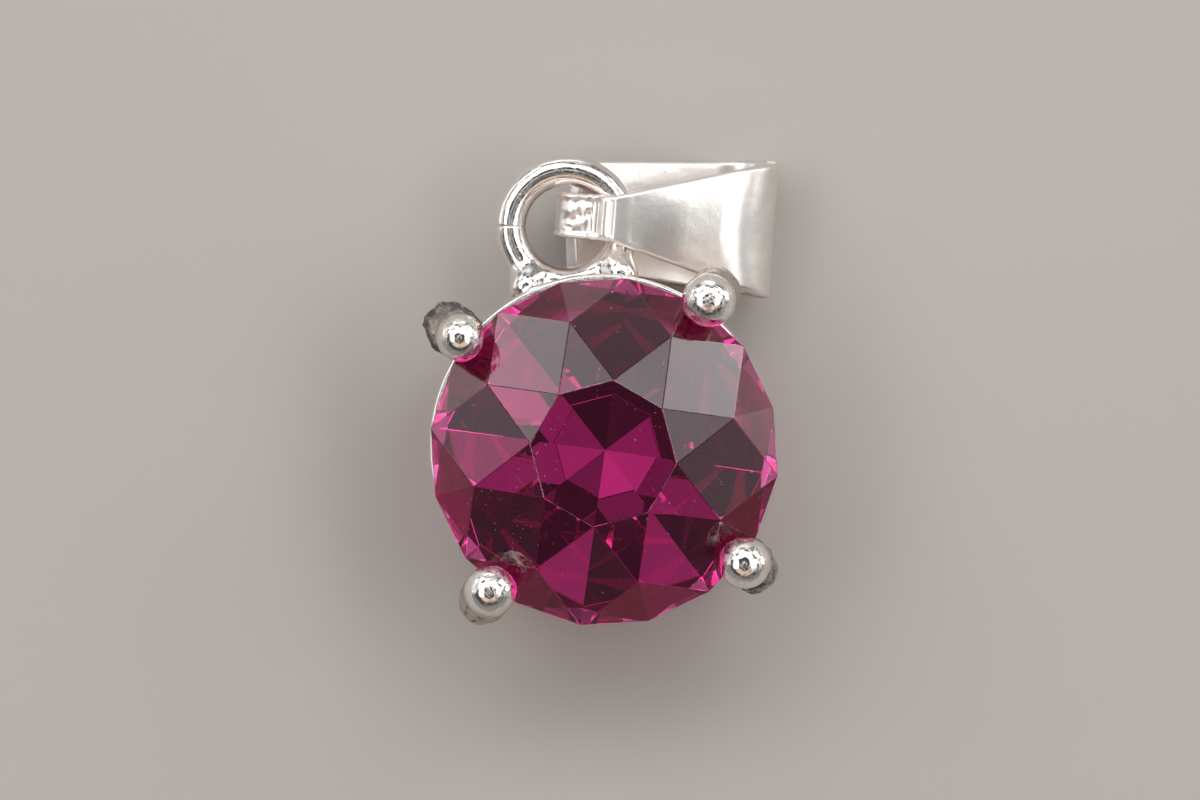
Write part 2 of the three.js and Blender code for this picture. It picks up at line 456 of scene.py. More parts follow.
# What the skin adds on a smooth claw, and what it adds besides on a fully crumpled one
SKIN_ROUGHNESS = (0.12, 0.2)
SKIN_RELIEF = (1.5, 3.0)
CRUMPLED_RISE = 0.4
CRUMPLED_CRUST = 0.35
# Heights between which the painted shade and reflection under a ball grows, downwards, and its share there
BALL_PAINTED_SHADE = (5.5, 5.0)
BALL_PAINTED_SHADE_SHARE = 0.85


def polished_silver(name, gloss, marks, crumpled=0.0, satin=0.0):
    """Silver with soft dents, creases, pits and buffing grain; a crumpled one has a claw's cast skin, with
    painted shade on it and under its ball.
    """
    settings = bpy.context.scene.pendant_silver
    finish = Finish(bpy.data.materials.new(name))
    place = finish.millimetres()
    cloud = finish.noise(place, CLOUDS_PER_MM, detail=4)
    dents = finish.noise(place, DENTS_PER_MM, detail=2)
    wrinkle = finish.noise(place, CREASES_PER_MM, detail=5, roughness=0.62, distortion=1.2)
    crease = (1.0 - (wrinkle - 0.5).size() * CREASE_FADE).band(0.0, 1.0)
    grain = finish.noise(place, GRAIN_PER_MM, detail=3, roughness=0.7)
    spots = finish.noise(place, SPOTS_PER_MM).band(*SPOTS_SHOW)
    pits = finish.cells(place, PITS_PER_MM).band(*PITS_SHOW) * spots
    colour = finish.blend(cloud.band(*CLOUDS_SHOW), (*settings.bright, 1), (*settings.tarnish, 1))
    colour = finish.blend(crease * marks + pits * PIT_SHARE, colour, CREASE_COLOUR)
    rough = gloss + cloud * CLOUD_ROUGHNESS + grain * (GRAIN_ROUGHNESS + satin * SATIN_ROUGHNESS)
    rough = rough + pits * PIT_ROUGHNESS
    relief = dents * DENT_RELIEF + grain * (GRAIN_RELIEF + satin * SATIN_RELIEF)
    relief = relief - crease * marks - pits * PIT_RELIEF
    metal = 1.0
    if crumpled:
        z = finish.height(place)
        ragged = finish.noise(place, RAGGED_PER_MM, detail=3)
        top = SKIN_TOP + CRUMPLED_RISE * crumpled
        skin_share = (z + ragged * RAGGED_TOP).band(*(top + edge for edge in SKIN_EDGE))
        skin_share = skin_share * (z - ragged).band(*SKIN_FOOT)
        crust = finish.noise(place, CRUST_PER_MM, detail=5, roughness=0.6, distortion=0.8)
        # Painted shade: near-black, less metallic patches on the crust; its roughness and relief below are
        # real cast skin
        darkened = skin_share * crust.band(*(level + CRUMPLED_CRUST * crumpled for level in CRUST_SHOWS))
        # Painted shade and reflection: the ball's lower half and the claw below it turn warm brownish grey
        under = (z + ragged * RAGGED_PAINTED_SHADE).band(*BALL_PAINTED_SHADE)
        colour = finish.blend(under * BALL_PAINTED_SHADE_SHARE, colour, (*settings.under, 1))
        colour = finish.blend(darkened, colour, (*settings.cast, 1))
        metal = 1.0 - darkened * CRUST_DARKENING
        rough = rough + skin_share * (SKIN_ROUGHNESS[0] + SKIN_ROUGHNESS[1] * crumpled)
        relief = relief + skin_share * crust * (SKIN_RELIEF[0] + SKIN_RELIEF[1] * crumpled)
    bump = finish.bump(relief, RELIEF_HEIGHT)
    return finish.done(finish.shader(Base_Color=colour, Metallic=metal, Roughness=rough, Normal=bump))


# The frost on the girdle, the shares of its thickness between which it fades in, and the dust on the facets
GIRDLE_FROST = 0.3
FROST_EDGE = (0.55, 0.45)
DUST_COLOUR = (0.8, 0.72, 0.7, 1.0)
DUST_SHARE = 0.5
LARGE_DUST_PER_MM = 2.6
LARGE_DUST_SHARE = 0.6
FINE_DUST_PER_MM = 8.0
DUSTY_AREAS_PER_MM = 0.5
# Noise levels and distances between which dusty areas and specks show
DUSTY_AREAS_SHOW = (0.4, 0.62)
LARGE_DUST_SHOWS = (0.06, 0.03)
FINE_DUST_SHOWS = (0.1, 0.05)


def garnet_glass():
    """Clear garnet that takes up light inside, mostly green, with a frosted girdle and specks of dust."""
    settings = bpy.context.scene.pendant_stone
    finish = Finish(bpy.data.materials.new("garnet"))
    place = finish.millimetres()
    frost_edges = (GIRDLE_THICKNESS * edge for edge in FROST_EDGE)
    frost = (finish.height(place) - STONE_PLACE.z).size().band(*frost_edges) * GIRDLE_FROST
    clear = finish.shader(
        Base_Color=WHITE, Roughness=frost, IOR=settings.refraction, Transmission_Weight=1.0
    )
    dusty = finish.noise(place, DUSTY_AREAS_PER_MM, detail=2).band(*DUSTY_AREAS_SHOW)
    large = finish.cells(place, LARGE_DUST_PER_MM).band(*LARGE_DUST_SHOWS) * LARGE_DUST_SHARE
    specks = large + finish.cells(place, FINE_DUST_PER_MM).band(*FINE_DUST_SHOWS) * dusty
    dust = finish.shader(Base_Color=DUST_COLOUR, Roughness=0.9)
    surface = finish.node("ShaderNodeMixShader", None, {0: specks * DUST_SHARE, 1: clear, 2: dust})
    absorbed = {"Color": (*settings.body, 1.0), "Density": settings.depth}
    return finish.done(surface, finish.node("ShaderNodeVolumeAbsorption", None, absorbed))


def length_setting(name, description, millimetres):
    return bpy.props.FloatProperty(
        name=name, description=description, default=millimetres * MM, unit="LENGTH"
    )


def colour_setting(name, description, colour):
    return bpy.props.FloatVectorProperty(
        name=name, description=description, default=colour, subtype="COLOR", size=3
    )


def level_setting(name, description, level, subtype="NONE"):
    return bpy.props.FloatProperty(
        name=name, description=description, default=level, min=0.0, subtype=subtype
    )


class PendantStone(bpy.types.PropertyGroup):
    """The garnet's cut and colour."""

    edge: length_setting("Edge", "Width of the polished edges between the crown facets", 0.035)
    body: colour_setting("Body colour", "Colour left after light crosses the stone", (0.863, 0.049, 0.597))
    depth: level_setting("Depth", "How strongly the stone takes up light, per metre", 372.0)
    refraction: level_setting("Refraction", "Index of refraction", 1.76)


class PendantSilver(bpy.types.PropertyGroup):
    """The silver's colours and the bail's sheet."""

    bright: colour_setting("Bright silver", "Colour of clean silver", (0.96, 0.92, 0.885))
    tarnish: colour_setting("Dulled silver", "Colour of silver that has dulled", (0.86, 0.81, 0.78))
    # Near-black painted shade on the claws' crumpled shoulders, over their rough cast skin
    cast: colour_setting("Shaded cast skin", "Colour of silver left as it was cast", (0.07, 0.065, 0.065))
    # Warm brownish grey painted as shade and reflection under the balls
    under: colour_setting("Painted shade", "Colour of the silver under the balls", (0.5, 0.42, 0.37))
    sheet: length_setting("Bail sheet", "Thickness of the bail's sheet", BAIL_THICKNESS)


class PendantStage(bpy.types.PropertyGroup):
    """The floor, the room and the lamps."""

    floor: colour_setting("Floor", "Colour of the floor", (0.52, 0.49, 0.46))
    lamps: level_setting("Lamps", "Strength of all lamps together", 1.0, subtype="FACTOR")
    surround: level_setting("Surround", "Brightness of the room overhead", 0.07)
    horizon: level_setting("Horizon", "Brightness of the room near its floor", 0.3)


EDGE_STEPS = 4


class PENDANT_OT_garnet(bpy.types.Operator):
    """Cut the faceted garnet"""

    bl_idname = "pendant.garnet"
    bl_label = "Garnet"

    def execute(self, context):
        stone = stone_object("faceted_garnet", 1.0)
        shape = bmesh.new()
        shape.from_mesh(stone.data)
        rounding = context.scene.pendant_stone.edge / MM / 2
        crown = [edge for edge in shape.edges if min(end.co.z for end in edge.verts) > STONE_PLACE.z]
        bmesh.ops.bevel(
            shape, geom=crown, offset=rounding, segments=EDGE_STEPS, profile=0.5, affect="EDGES"
        )
        bmesh.ops.recalc_face_normals(shape, faces=shape.faces)
        shape.to_mesh(stone.data)
        shape.free()
        finished(stone, garnet_glass(), "garnet", "setting", sharp=1.0)
        return {"FINISHED"}


CLAW_WIRE = 0.55
CLAW_NECK = 0.05
CLAW_SIDES = 96
CLAW_STEPS = 230
CLAW_CURVE_STEPS = 24
CLAW_THINNEST = 0.002
# Distances below a ball between which the neck narrows, the skin begins and the skin ends
NECK_NARROWS = (0.9, 0.35)
SKIN_BEGINS = (2.4, 1.0)
SKIN_ENDS = (0.45, 0.12)
CRUMPLE_DEPTH = 0.075
CRUMPLES_PER_MM = 2.4
FINE_CRUMPLES_PER_MM = 5.04
FINE_CRUMPLES_START = Vector((3.1, 0.7, 1.9))
COARSE_CRUMPLES = 2.6
FINE_CRUMPLES = 1.3
BALL_DENT_DEPTH = 0.022
BALL_DENTS_PER_MM = 2.1
FINE_DENT_DEPTH = 0.0088
FINE_DENTS_PER_MM = 4.5
# Moves each claw's dents to another part of the noise
SEED_STEP = (7.3, 16.79, 0.0)
# The tool that cuts the stone's seat is larger than the stone by this factor
SEAT_PLAY = 1.003


def creased(place):
    """Noise with sharp ridges, at most 1, like skin on cast metal."""
    coarse = abs(noise.noise(place * CRUMPLES_PER_MM))
    fine = abs(noise.noise(place * FINE_CRUMPLES_PER_MM + FINE_CRUMPLES_START))
    return 1.0 - COARSE_CRUMPLES * coarse - FINE_CRUMPLES * fine


def claw_rings(angle, reach, ball_radius, crumple, seed):
    """Rings of one claw: round wire up to a neck, then a ball, with crumpled skin under the ball."""
    centres = [Vector((r, 0, z)) for r, z in (*CLAW_RISE, (reach, CLAW_BALL_HEIGHT))]
    line = catmull(centres, CLAW_CURVE_STEPS)
    line.append(line[-1] + (line[-1] - line[-3]).normalized() * ball_radius)
    spine = evenly(line, CLAW_STEPS)
    length = sum((b - a).length for a, b in zip(spine, spine[1:]))
    ball_at = length - ball_radius
    turn = Matrix.Rotation(math.radians(angle), 3, "Z")
    offset = Vector(SEED_STEP) * seed
    rings = []
    along = 0.0
    for i, centre in enumerate(spine):
        before, after = spine[max(i - 1, 0)], spine[min(i + 1, CLAW_STEPS - 1)]
        tangent = (after - before).normalized()
        across = Vector((0, 1, 0))
        outward = across.cross(tangent)
        if i:
            along += (centre - before).length
        rise = (along - ball_at) / ball_radius
        ball = ball_radius * math.sqrt(max(1 - rise * rise, 0.0)) if rise > -1 else 0.0
        to_ball = ball_at - along
        wire = CLAW_WIRE - CLAW_NECK * smooth_step(*NECK_NARROWS, to_ball)
        radius = ball if rise > 0 else max(wire, ball)
        skin_share = smooth_step(*SKIN_BEGINS, to_ball) * (1 - smooth_step(*SKIN_ENDS, to_ball))
        slim = min(radius / CLAW_WIRE, 1)
        ring = []
        for k in range(CLAW_SIDES):
            a = 2 * math.pi * k / CLAW_SIDES
            spoke = across * math.cos(a) + outward * math.sin(a)
            place = centre + spoke * radius + offset
            dent = creased(place) * skin_share * CRUMPLE_DEPTH * crumple
            dent += noise.noise(place * BALL_DENTS_PER_MM) * BALL_DENT_DEPTH
            dent += noise.noise(place * FINE_DENTS_PER_MM) * FINE_DENT_DEPTH
            ring.append(turn @ (centre + spoke * max(radius + dent * slim, CLAW_THINNEST)))
        rings.append(ring)
    return rings


class PENDANT_OT_claws(bpy.types.Operator):
    """Make the ball-tipped claws and seat the stone in them"""

    bl_idname = "pendant.claws"
    bl_label = "Claws"

    def execute(self, context):
        seat = stone_object("seat_tool", SEAT_PLAY)
        ground = piece_from("ground_tool", *box_below())
        for seed, (node, (angle, reach, ball, crumple)) in enumerate(CLAW_PLACES.items()):
            rings = claw_rings(angle, reach, ball, crumple, seed)
            claw = piece_from("ball_" + node, *skin(rings, False))
            facing_out(claw)
            cut(claw, seat)
            cut(claw, ground)
            silver = polished_silver(node + "_silver", gloss=0.05, marks=0.16, crumpled=crumple)
            finished(claw, silver, node, "setting")
        bpy.data.objects.remove(seat)
        bpy.data.objects.remove(ground)
        return {"FINISHED"}


GROUND_SIDE = 8.0
GROUND_DEPTH = 3.0


def box_below():
    """A block under the surface that the basket stands on."""
    sides = (-GROUND_SIDE, GROUND_SIDE)
    corners = [(x, y, z) for z in (-GROUND_DEPTH, 0.0) for y in sides for x in sides]
    faces = [(0, 2, 3, 1), (4, 5, 7, 6), (0, 1, 5, 4), (2, 6, 7, 3), (0, 4, 6, 2), (1, 3, 7, 5)]
    return corners, faces


GALLERY_ROUNDING = 0.045
GALLERY_CORNER_STEPS = 5
GALLERY_STEPS = 288
GALLERY_WAVER = 0.01
BASE_ROUNDING = 0.12
BASE_CORNER_STEPS = 6
BASE_STEPS = 240
# How fast the rail's waver changes round the rail and up its section
RAIL_WAVES = 1.7
RAIL_WAVES_UP = 0.85


def turned(section, segments, waver):
    """Rings of a rail about the axis, a little out of true by waver millimetres."""
    rings = []
    for i in range(segments):
        angle = 2 * math.pi * i / segments
        ring = []
        for radius, z in section:
            place = polar(RAIL_WAVES, angle, z * RAIL_WAVES_UP)
            off = noise.noise(place) * waver
            ring.append(polar(radius + off, angle, z))
        rings.append(ring)
    return rings


class PENDANT_OT_rails(bpy.types.Operator):
    """Make the gallery rail and the base rail"""

    bl_idname = "pendant.rails"
    bl_label = "Rails"

    def execute(self, context):
        silver = polished_silver("rail_silver", gloss=0.08, marks=0.1)
        seat = stone_object("seat_tool", SEAT_PLAY)
        section = rounded(GALLERY_SECTION, GALLERY_ROUNDING, GALLERY_CORNER_STEPS)
        gallery = piece_from("gallery", *skin(turned(section, GALLERY_STEPS, GALLERY_WAVER), True))
        facing_out(gallery)
        cut(gallery, seat)
        finished(gallery, silver, "gallery_rail", "setting")
        bpy.data.objects.remove(seat)
        section = rounded(BASE_SECTION, BASE_ROUNDING, BASE_CORNER_STEPS)
        base = piece_from("base", *skin(turned(section, BASE_STEPS, 0.0), True))
        facing_out(base)
        finished(base, silver, "base_rail", "setting")
        return {"FINISHED"}


RING_STEPS = 320
RING_SIDES = 72
SEAM_ANGLE = math.radians(172.5)
SEAM_HALF_WIDTH = 0.018
SEAM_DEPTH = 0.05
RING_WAVER = 0.008
RING_WAVES_PER_MM = 1.6
# The solder flows from its lumps into the wire over this distance, and its skin is a little lumpy
SOLDER_BLEND = 0.3
SOLDER_WAVER = 0.03
SOLDER_WAVES_PER_MM = 2.2
SOLDER_PASSES = 14
# Solder only reaches places of the wire that lie this far below the ring's middle
SOLDER_BELOW = 0.4
# The search for the solder's surface: steps outwards, then halvings of the last step
SEARCH_STEP = 0.04
SEARCH_STEPS = 20
SEARCH_HALVINGS = 7


def solder_gap(point):
    """How far a point lies outside the ring's wire and the solder that flows into it."""
    flat = math.hypot(point.x - RING_CENTRE.x, point.y - RING_CENTRE.y)
    wire = math.hypot(flat - RING_RADIUS, point.z - RING_CENTRE.z) - RING_WIRE
    lumps = [Vector((RING_CENTRE.x + side * SOLDER_SIDE, SOLDER_REACH, SOLDER_HEIGHT)) for side in (-1, 1)]
    lump = min((point - centre).length for centre in lumps) - SOLDER_RADIUS
    lump += noise.noise(point * SOLDER_WAVES_PER_MM) * SOLDER_WAVER
    share = min(max(0.5 + (lump - wire) / (2 * SOLDER_BLEND), 0.0), 1.0)
    return lump * (1 - share) + wire * share - SOLDER_BLEND * share * (1 - share)


def solder_reach(place, outward):
    """How far the solder stands out of the ring's wire at a place on it, along its outward direction."""
    stand = 0.0
    inside = solder_gap(place) < 0
    for step in range(1, SEARCH_STEPS):
        reach = step * SEARCH_STEP
        here = solder_gap(place + outward * reach)
        if inside and here >= 0:
            low, high = reach - SEARCH_STEP, reach
            for _ in range(SEARCH_HALVINGS):
                middle = (low + high) / 2
                if solder_gap(place + outward * middle) < 0:
                    low = middle
                else:
                    high = middle
            stand = low
        inside = here < 0
    return stand


def evened(grid, passes):
    """A grid that closes both ways, each value evened out with its neighbours in each pass."""
    for _ in range(passes):
        smooth = []
        for i, row in enumerate(grid):
            before, after = grid[i - 1], grid[(i + 1) % len(grid)]
            sides = [row[k - 1] + row[(k + 1) % len(row)] for k in range(len(row))]
            smooth.append([(row[k] * 4 + before[k] + after[k] + sides[k]) / 8 for k in range(len(row))])
        grid = smooth
    return grid


class PENDANT_OT_ring(bpy.types.Operator):
    """Make the ring with its seam and the solder that fixes it to the gallery rail"""

    bl_idname = "pendant.ring"
    bl_label = "Ring"

    def execute(self, context):
        solder_top = RING_CENTRE.y - SOLDER_BELOW
        places, stands = [], []
        for i in range(RING_STEPS):
            spoke = polar(1.0, 2 * math.pi * i / RING_STEPS, 0.0)
            middle = RING_CENTRE + spoke * RING_RADIUS
            row = []
            for k in range(RING_SIDES):
                a = 2 * math.pi * k / RING_SIDES
                outward = spoke * math.cos(a) + Vector((0, 0, math.sin(a)))
                row.append((middle + outward * RING_WIRE, outward))
            places.append(row)
            stands.append([solder_reach(*spot) if spot[0].y < solder_top else 0.0 for spot in row])
        stands = evened(stands, SOLDER_PASSES)
        rings = []
        for i in range(RING_STEPS):
            around = 2 * math.pi * i / RING_STEPS
            from_seam = abs((around - SEAM_ANGLE + math.pi) % (2 * math.pi) - math.pi) * RING_RADIUS
            seam = SEAM_DEPTH * (1 - smooth_step(0.0, SEAM_HALF_WIDTH, from_seam))
            ring = []
            for (place, outward), stand in zip(places[i], stands[i]):
                waver = noise.noise(place * RING_WAVES_PER_MM) * RING_WAVER
                ring.append(place + outward * (waver + stand - seam))
            rings.append(ring)
        hoop = piece_from("hoop", *skin(rings, True))
        facing_out(hoop)
        silver = polished_silver("ring_silver", gloss=0.06, marks=0.06)
        finished(hoop, silver, "jump_ring", "setting", sharp=50.0)
        return {"FINISHED"}


BAIL_STATIONS = 420
BAIL_FLAT_STEPS = 40
BAIL_EDGE_STEPS = 6
BAIL_EDGE_RADIUS = 0.1
# The least flat that stays between the two rounded corners of an edge
EDGE_FLAT = 0.001
# The slight crown of the front leaf: its height, and where along the leaf it rises and falls again
BAIL_CROWN = 0.14
CROWN_RISES = (-0.2, 1.5)
CROWN_FALLS = (2.2, 3.3)
BAIL_WAVER = 0.02
BAIL_WAVES_PER_MM = 0.8
FOLD_STEPS = 60
TAB_CURVE_STEPS = 12
# The front leaf lies above this height, the back leaf below it
LEAVES_PART = 1.45
# Length of the step in width between the tab and the back leaf
BACK_STEP = 0.1


def bail_line():
    """The middle of the sheet in its side view, as a closed line."""
    front_angle = math.pi / 2 - FRONT_SLOPE
    back_angle = -math.pi / 2 - BACK_SLOPE
    centre = Vector((FOLD_H, FOLD_Z))
    fold = []
    for i in range(FOLD_STEPS + 1):
        angle = front_angle + (back_angle - front_angle) * i / FOLD_STEPS
        fold.append(centre + Vector((math.cos(angle), math.sin(angle))) * FOLD_RADIUS)
    back_top = fold[-1].y + (fold[-1].x - BACK_END) * math.tan(BACK_SLOPE)
    front_top = fold[0].y + (fold[0].x - FRONT_START) * math.tan(FRONT_SLOPE)
    corners = [Vector((BACK_END, back_top)), *map(Vector, BAIL_TAB), Vector((FRONT_START, front_top))]
    return evenly([*fold, *catmull(corners, TAB_CURVE_STEPS)], BAIL_STATIONS, closed=True)


def bail_half_width(h, front):
    """Half of the bail's width at h, on its front or its back leaf."""
    if front:
        taper = (h - NECK_END) / (PLATE_END - NECK_END)
        return NECK_HALF_WIDTH + (FOLD_HALF_WIDTH - NECK_HALF_WIDTH) * max(taper, 0.0)
    wide = BACK_HALF_WIDTH + (FOLD_HALF_WIDTH - BACK_HALF_WIDTH) * (h - BACK_EDGE) / (PLATE_END - BACK_EDGE)
    return NECK_HALF_WIDTH + (wide - NECK_HALF_WIDTH) * smooth_step(BACK_EDGE, BACK_EDGE + BACK_STEP, h)


def bail_section(half, thickness, crown):
    """The sheet's section across its width as (across, out) points: outer face, edge, inner face, edge."""
    edge = min(BAIL_EDGE_RADIUS, thickness / 2 - EDGE_FLAT)
    flat = half - edge
    across = [flat - 2 * flat * i / BAIL_FLAT_STEPS for i in range(BAIL_FLAT_STEPS + 1)]

    def dome(v):
        return crown * (1 - (v / half) ** 2)

    def rounded_corner(side, corner, first):
        for i in range(1, BAIL_EDGE_STEPS + 1):
            angle = first + math.pi / 2 * i / BAIL_EDGE_STEPS
            out = corner * (thickness / 2 - edge) + edge * math.sin(angle)
            points.append((side * flat + edge * math.cos(angle), out + dome(flat)))

    points = [(v, thickness / 2 + dome(v)) for v in across]
    rounded_corner(-1, 1, math.pi / 2)
    rounded_corner(-1, -1, math.pi)
    points += [(-v, -thickness / 2 + dome(v)) for v in across[1:]]
    rounded_corner(1, -1, -math.pi / 2)
    rounded_corner(1, 1, 0.0)
    return points[:-1]


# Marks of the soldering on the bail's tab, as h, distance to the left of its middle line, radius and height
TAB_LUMPS = (
    (-1.12, 0.16, 0.16, 0.05),
    (-0.80, 0.17, 0.13, 0.06),
    (-0.83, -0.12, 0.14, 0.05),
    (-1.16, -0.26, 0.10, 0.05),
    (-1.16, -0.26, 0.045, -0.08),
    (-0.98, 0.02, 0.05, -0.06),
    (-0.70, 0.05, 0.05, -0.05),
)
# Where the tab passes into the neck
TAB_FADE = (-0.62, -0.5)
# The raised rim: its height, the place and width of its end, and its inset and width along the sides
TAB_RIM = 0.05
TAB_RIM_END = (-1.46, 0.09)
TAB_RIM_SIDE = (0.07, 0.06)
TAB_WAVER = 0.03
TAB_WAVES_PER_MM = 5.5
# Grooves across the neck, as h, width and height, and how far from the edge and how much they fade there
NECK_GROOVES = ((-0.52, 0.055, -0.11), (-0.36, 0.06, 0.05), (-0.22, 0.04, -0.045))
GROOVE_INSET = 0.16
GROOVE_FADE = 0.65


def hill(distance, width):
    return math.exp(-((distance / width) ** 2))


def tab_relief(h, v):
    """Height of the tab's lumps and rim and of the neck's grooves over the smooth sheet."""
    from_side = NECK_HALF_WIDTH - abs(v)
    relief = 0.0
    for at, side, radius, height in TAB_LUMPS:
        relief += height * hill(math.hypot(h - at, v - side), radius)
    relief += TAB_RIM * hill(h - TAB_RIM_END[0], TAB_RIM_END[1])
    relief += TAB_RIM * hill(from_side - TAB_RIM_SIDE[0], TAB_RIM_SIDE[1])
    relief += noise.noise(Vector((h, v, 0.0)) * TAB_WAVES_PER_MM) * TAB_WAVER
    relief *= 1 - smooth_step(*TAB_FADE, h)
    grooves = sum(height * hill(h - at, width) for at, width, height in NECK_GROOVES)
    inside = smooth_step(0.0, GROOVE_INSET, from_side)
    return relief + grooves * (1 - GROOVE_FADE * (1 - inside))


class PENDANT_OT_bail(bpy.types.Operator):
    """Fold the tapered bail and thread it on the ring"""

    bl_idname = "pendant.bail"
    bl_label = "Bail"

    def execute(self, context):
        thickness = context.scene.pendant_silver.sheet / MM
        line = bail_line()
        wire = RING_CENTRE + polar(RING_RADIUS, WIRE_ANGLE, 0)
        wire.z = 0
        turn = Matrix.Rotation(BAIL_TURN, 3, "Z")
        rings = []
        for i, centre in enumerate(line):
            tangent = (line[(i + 1) % BAIL_STATIONS] - line[i - 1]).normalized()
            outward = Vector((-tangent.y, tangent.x))
            front = centre.y > LEAVES_PART
            half = bail_half_width(centre.x, front)
            crown = 0.0
            if front:
                crown = smooth_step(*CROWN_RISES, centre.x) * (1 - smooth_step(*CROWN_FALLS, centre.x))
            ring = []
            for v, n in bail_section(half, thickness, BAIL_CROWN * crown):
                waver = noise.noise(Vector((centre.x, v, centre.y)) * BAIL_WAVES_PER_MM) * BAIL_WAVER
                relief = tab_relief(centre.x, v) if front and n > 0 else 0.0
                spot = centre + outward * (n + relief + waver)
                ring.append(wire + turn @ Vector((spot.x, v, spot.y)))
            rings.append(ring)
        leaf = piece_from("folded_bail", *skin(rings, True))
        facing_out(leaf)
        silver = polished_silver("bail_silver", gloss=0.23, marks=0.02, satin=1.0)
        finished(leaf, silver, "bail", "bail", sharp=45.0)
        return {"FINISHED"}


# The view: nearly straight down on the stone, which lies under the pixel given here
IMAGE_SIZE = (1200, 800)
STONE_PIXEL = (604.2, 451.8)
PIXELS_PER_MM = 43.75
VIEW_TURN = math.radians(7.4)
VIEW_LEAN_UP = math.radians(1.2)
VIEW_LEAN_RIGHT = math.radians(0.8)
VIEW_DISTANCE = 0.25

WARM_LAMPS = ("shine_front_left", "shine_front_right")
WARM = (1.0, 0.76, 0.58, 1.0)
LAMP_DISTANCE = 0.45
# Share of a lamp's width over which each of its edges fades
LAMP_FADE = 0.3
# Heights, on a sphere of radius 1, between which the room brightens downwards
HORIZON_BAND = (0.5, 0.25)
# Soft lamps: degrees from the picture's right and down from overhead, their spans in degrees, and radiance
LAMPS = {
    "key": (37, 68, 23, 13, 3.7),
    "right_low": (13, 83, 22, 14, 3.4),
    "left": (127, 68, 23, 13, 2.35),
    "back_low": (94, 83, 44, 14, 1.3),
    "left_low": (160, 83, 44, 14, 1.2),
    "back_right": (14, 56, 22, 12, 1.3),
    "back_middle": (60, 50, 24, 20, 1.4),
    "back": (104, 56, 22, 12, 1.5),
    "back_left": (150, 56, 22, 12, 1.9),
    "back_rim": (82, 68, 22, 13, 0.45),
    "left_rim": (172, 68, 22, 13, 0.7),
    "right_rim": (352, 68, 22, 13, 0.45),
    "shine_right": (0, 38, 60, 20, 2.6),
    "shine_back_right": (60, 38, 60, 20, 3.2),
    "shine_back_left": (120, 38, 60, 20, 3.2),
    "shine_left": (180, 38, 60, 20, 2.2),
    "shine_front_left": (240, 38, 60, 20, 0.7),
    "shine_front_right": (300, 38, 60, 20, 0.7),
    "top_back": (104, 8, 44, 7, 0.8),
    "top_back_left": (150, 9, 44, 9, 0.6),
    "top_left": (196, 10, 44, 10, 0.36),
    "top_front_right": (330, 9, 44, 9, 0.3),
    "top_right": (14, 8, 44, 6, 0.55),
    "top_back_right": (60, 8, 44, 6, 0.22),
    "top_front": (290, 13, 40, 4, 0.25),
    "front_arc": (225, 17, 130, 5, 0.35),
}


def picture_axes():
    right = Vector((math.cos(VIEW_TURN), -math.sin(VIEW_TURN), 0.0))
    up = Vector((math.sin(VIEW_TURN), math.cos(VIEW_TURN), 0.0))
    return right, up


def add_camera(scene):
    right, up = picture_axes()
    camera = bpy.data.cameras.new("camera")
    camera.sensor_width = 36.0
    seen_width = IMAGE_SIZE[0] / PIXELS_PER_MM * MM
    camera.lens = camera.sensor_width * VIEW_DISTANCE / seen_width
    camera.clip_start = 0.01
    camera.clip_end = 10.0
    stone = in_frame(STONE_PLACE)
    aside = (IMAGE_SIZE[0] / 2 - STONE_PIXEL[0]) / PIXELS_PER_MM * MM
    above = (STONE_PIXEL[1] - IMAGE_SIZE[1] / 2) / PIXELS_PER_MM * MM
    target = stone + right * aside + up * above
    back = Vector((0, 0, 1)) + up * math.tan(VIEW_LEAN_UP) + right * math.tan(VIEW_LEAN_RIGHT)
    back.normalize()
    side = up.cross(back).normalized()
    view = Matrix((side, back.cross(side), back)).transposed().to_4x4()
    holder = bpy.data.objects.new("camera", camera)
    holder.matrix_world = Matrix.Translation(target + back * VIEW_DISTANCE) @ view
    scene.collection.objects.link(holder)
    scene.camera = holder


def add_lamp(scene, name, azimuth, lean, azimuth_span, lean_span, radiance):
    """A lamp that faces the stone, fades towards its edges and is hidden from the camera itself."""
    right, up = picture_axes()
    azimuth, lean = math.radians(azimuth), math.radians(lean)
    level = right * math.cos(azimuth) + up * math.sin(azimuth)
    towards = level * math.sin(lean) + Vector((0, 0, math.cos(lean)))
    lamp = bpy.data.lights.new(name, "AREA")
    lamp.shape = "RECTANGLE"
    lamp.size = LAMP_DISTANCE * math.radians(azimuth_span) * math.sin(lean) / (1 - LAMP_FADE)
    lamp.size_y = LAMP_DISTANCE * math.radians(lean_span) / (1 - LAMP_FADE)
    lamp.energy = radiance * math.pi * lamp.size * lamp.size_y * scene.pendant_stage.lamps
    light = Finish(lamp)
    place = light.node("ShaderNodeNewGeometry", output="Parametric")
    glow = 1.0
    for axis in (0, 1):
        across = light.node("ShaderNodeSeparateXYZ", None, {0: place}, output=axis) - 0.5
        glow = across.size().band(0.5, 0.5 - LAMP_FADE) * glow
    colour = WARM if name in WARM_LAMPS else WHITE
    light.done(light.node("ShaderNodeEmission", None, {"Color": colour, "Strength": glow}))
    holder = bpy.data.objects.new(name + "_lamp", lamp)
    across = Vector((0, 0, 1)).cross(towards).normalized()
    facing = Matrix((across, towards.cross(across), towards)).transposed().to_4x4()
    holder.matrix_world = Matrix.Translation(in_frame(STONE_PLACE) + towards * LAMP_DISTANCE) @ facing
    holder.visible_camera = False
    scene.collection.objects.link(holder)


FLOOR_SIDE = 600.0
FLOOR_TONES_PER_MM = 0.05
FLOOR_SHADE = 0.94
# How often light is followed: in all, from shiny surfaces, and through the stone
BOUNCES = (28, 20, 24)


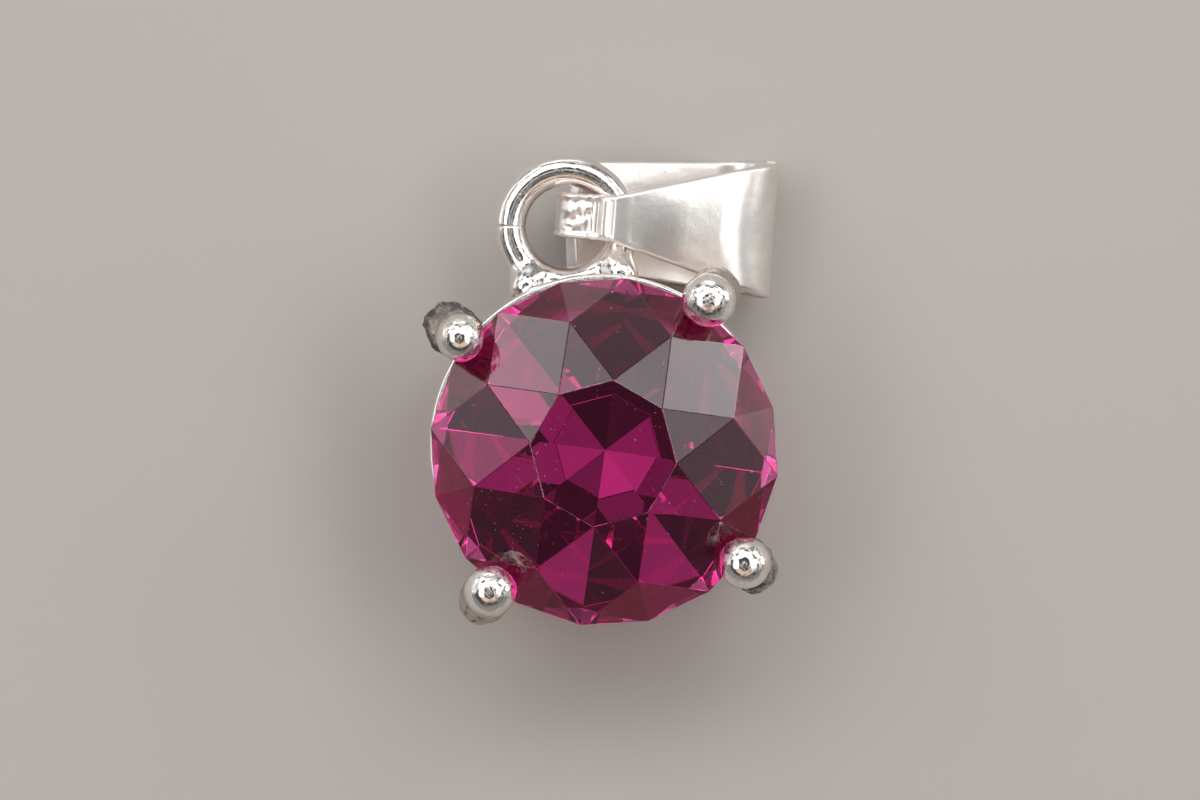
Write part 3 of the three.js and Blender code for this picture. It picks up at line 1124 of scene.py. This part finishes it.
def floor_finish(colour):
    finish = Finish(bpy.data.materials.new("floor"))
    place = finish.millimetres()
    tone = finish.noise(place, FLOOR_TONES_PER_MM, detail=2)
    shade = tuple(c * FLOOR_SHADE for c in colour)
    paint = finish.blend(tone, (*colour, 1), (*shade, 1))
    return finish.done(finish.shader(Base_Color=paint, Roughness=0.6))


class PENDANT_OT_stage(bpy.types.Operator):
    """Lay the floor and set up the lamps and the camera"""

    bl_idname = "pendant.stage"
    bl_label = "Stage"

    def execute(self, context):
        scene = context.scene
        settings = scene.pendant_stage
        corners = [(x * FLOOR_SIDE, y * FLOOR_SIDE, 0) for x, y in ((-1, -1), (1, -1), (1, 1), (-1, 1))]
        floor = piece_from("floor", corners, [(0, 1, 2, 3)])
        floor.data.transform(Matrix.Scale(MM, 4))
        floor.data.materials.append(floor_finish(tuple(settings.floor)))
        for name, lamp in LAMPS.items():
            add_lamp(scene, name, *lamp)
        world = scene.world or bpy.data.worlds.new("studio")
        scene.world = world
        room = Finish(world)
        way = room.node("ShaderNodeTexCoord", output="Generated")
        low = room.height(way).band(*HORIZON_BAND)
        glow = low * (settings.horizon - settings.surround) + settings.surround
        room.done(room.node("ShaderNodeBackground", None, {"Strength": glow}))
        add_camera(scene)
        cycles = scene.cycles
        cycles.max_bounces, cycles.glossy_bounces, cycles.transmission_bounces = BOUNCES
        scene.view_settings.view_transform = "Standard"
        return {"FINISHED"}


class PENDANT_PT_panel(bpy.types.Panel):
    """The steps of the pendant, in order"""

    bl_label = "Garnet Pendant"
    bl_idname = "PENDANT_PT_panel"
    bl_space_type = "VIEW_3D"
    bl_region_type = "UI"
    bl_category = "Pendant"

    def draw(self, context):
        for step in STEPS:
            self.layout.operator(step.bl_idname)


STEPS = (
    PENDANT_OT_stage,
    PENDANT_OT_garnet,
    PENDANT_OT_claws,
    PENDANT_OT_rails,
    PENDANT_OT_ring,
    PENDANT_OT_bail,
)
SETTINGS = {
    "pendant_stone": PendantStone,
    "pendant_silver": PendantSilver,
    "pendant_stage": PendantStage,
}


def register():
    for kind in (*SETTINGS.values(), *STEPS, PENDANT_PT_panel):
        bpy.utils.register_class(kind)
    for name, kind in SETTINGS.items():
        setattr(bpy.types.Scene, name, bpy.props.PointerProperty(type=kind))


def unregister():
    for name in SETTINGS:
        delattr(bpy.types.Scene, name)
    for kind in reversed((*SETTINGS.values(), *STEPS, PENDANT_PT_panel)):
        bpy.utils.unregister_class(kind)


def main():
    register()
    bpy.ops.pendant.stage()
    bpy.ops.pendant.garnet()
    bpy.ops.pendant.claws()
    bpy.ops.pendant.rails()
    bpy.ops.pendant.ring()
    bpy.ops.pendant.bail()


if __name__ == "__main__":
    main()
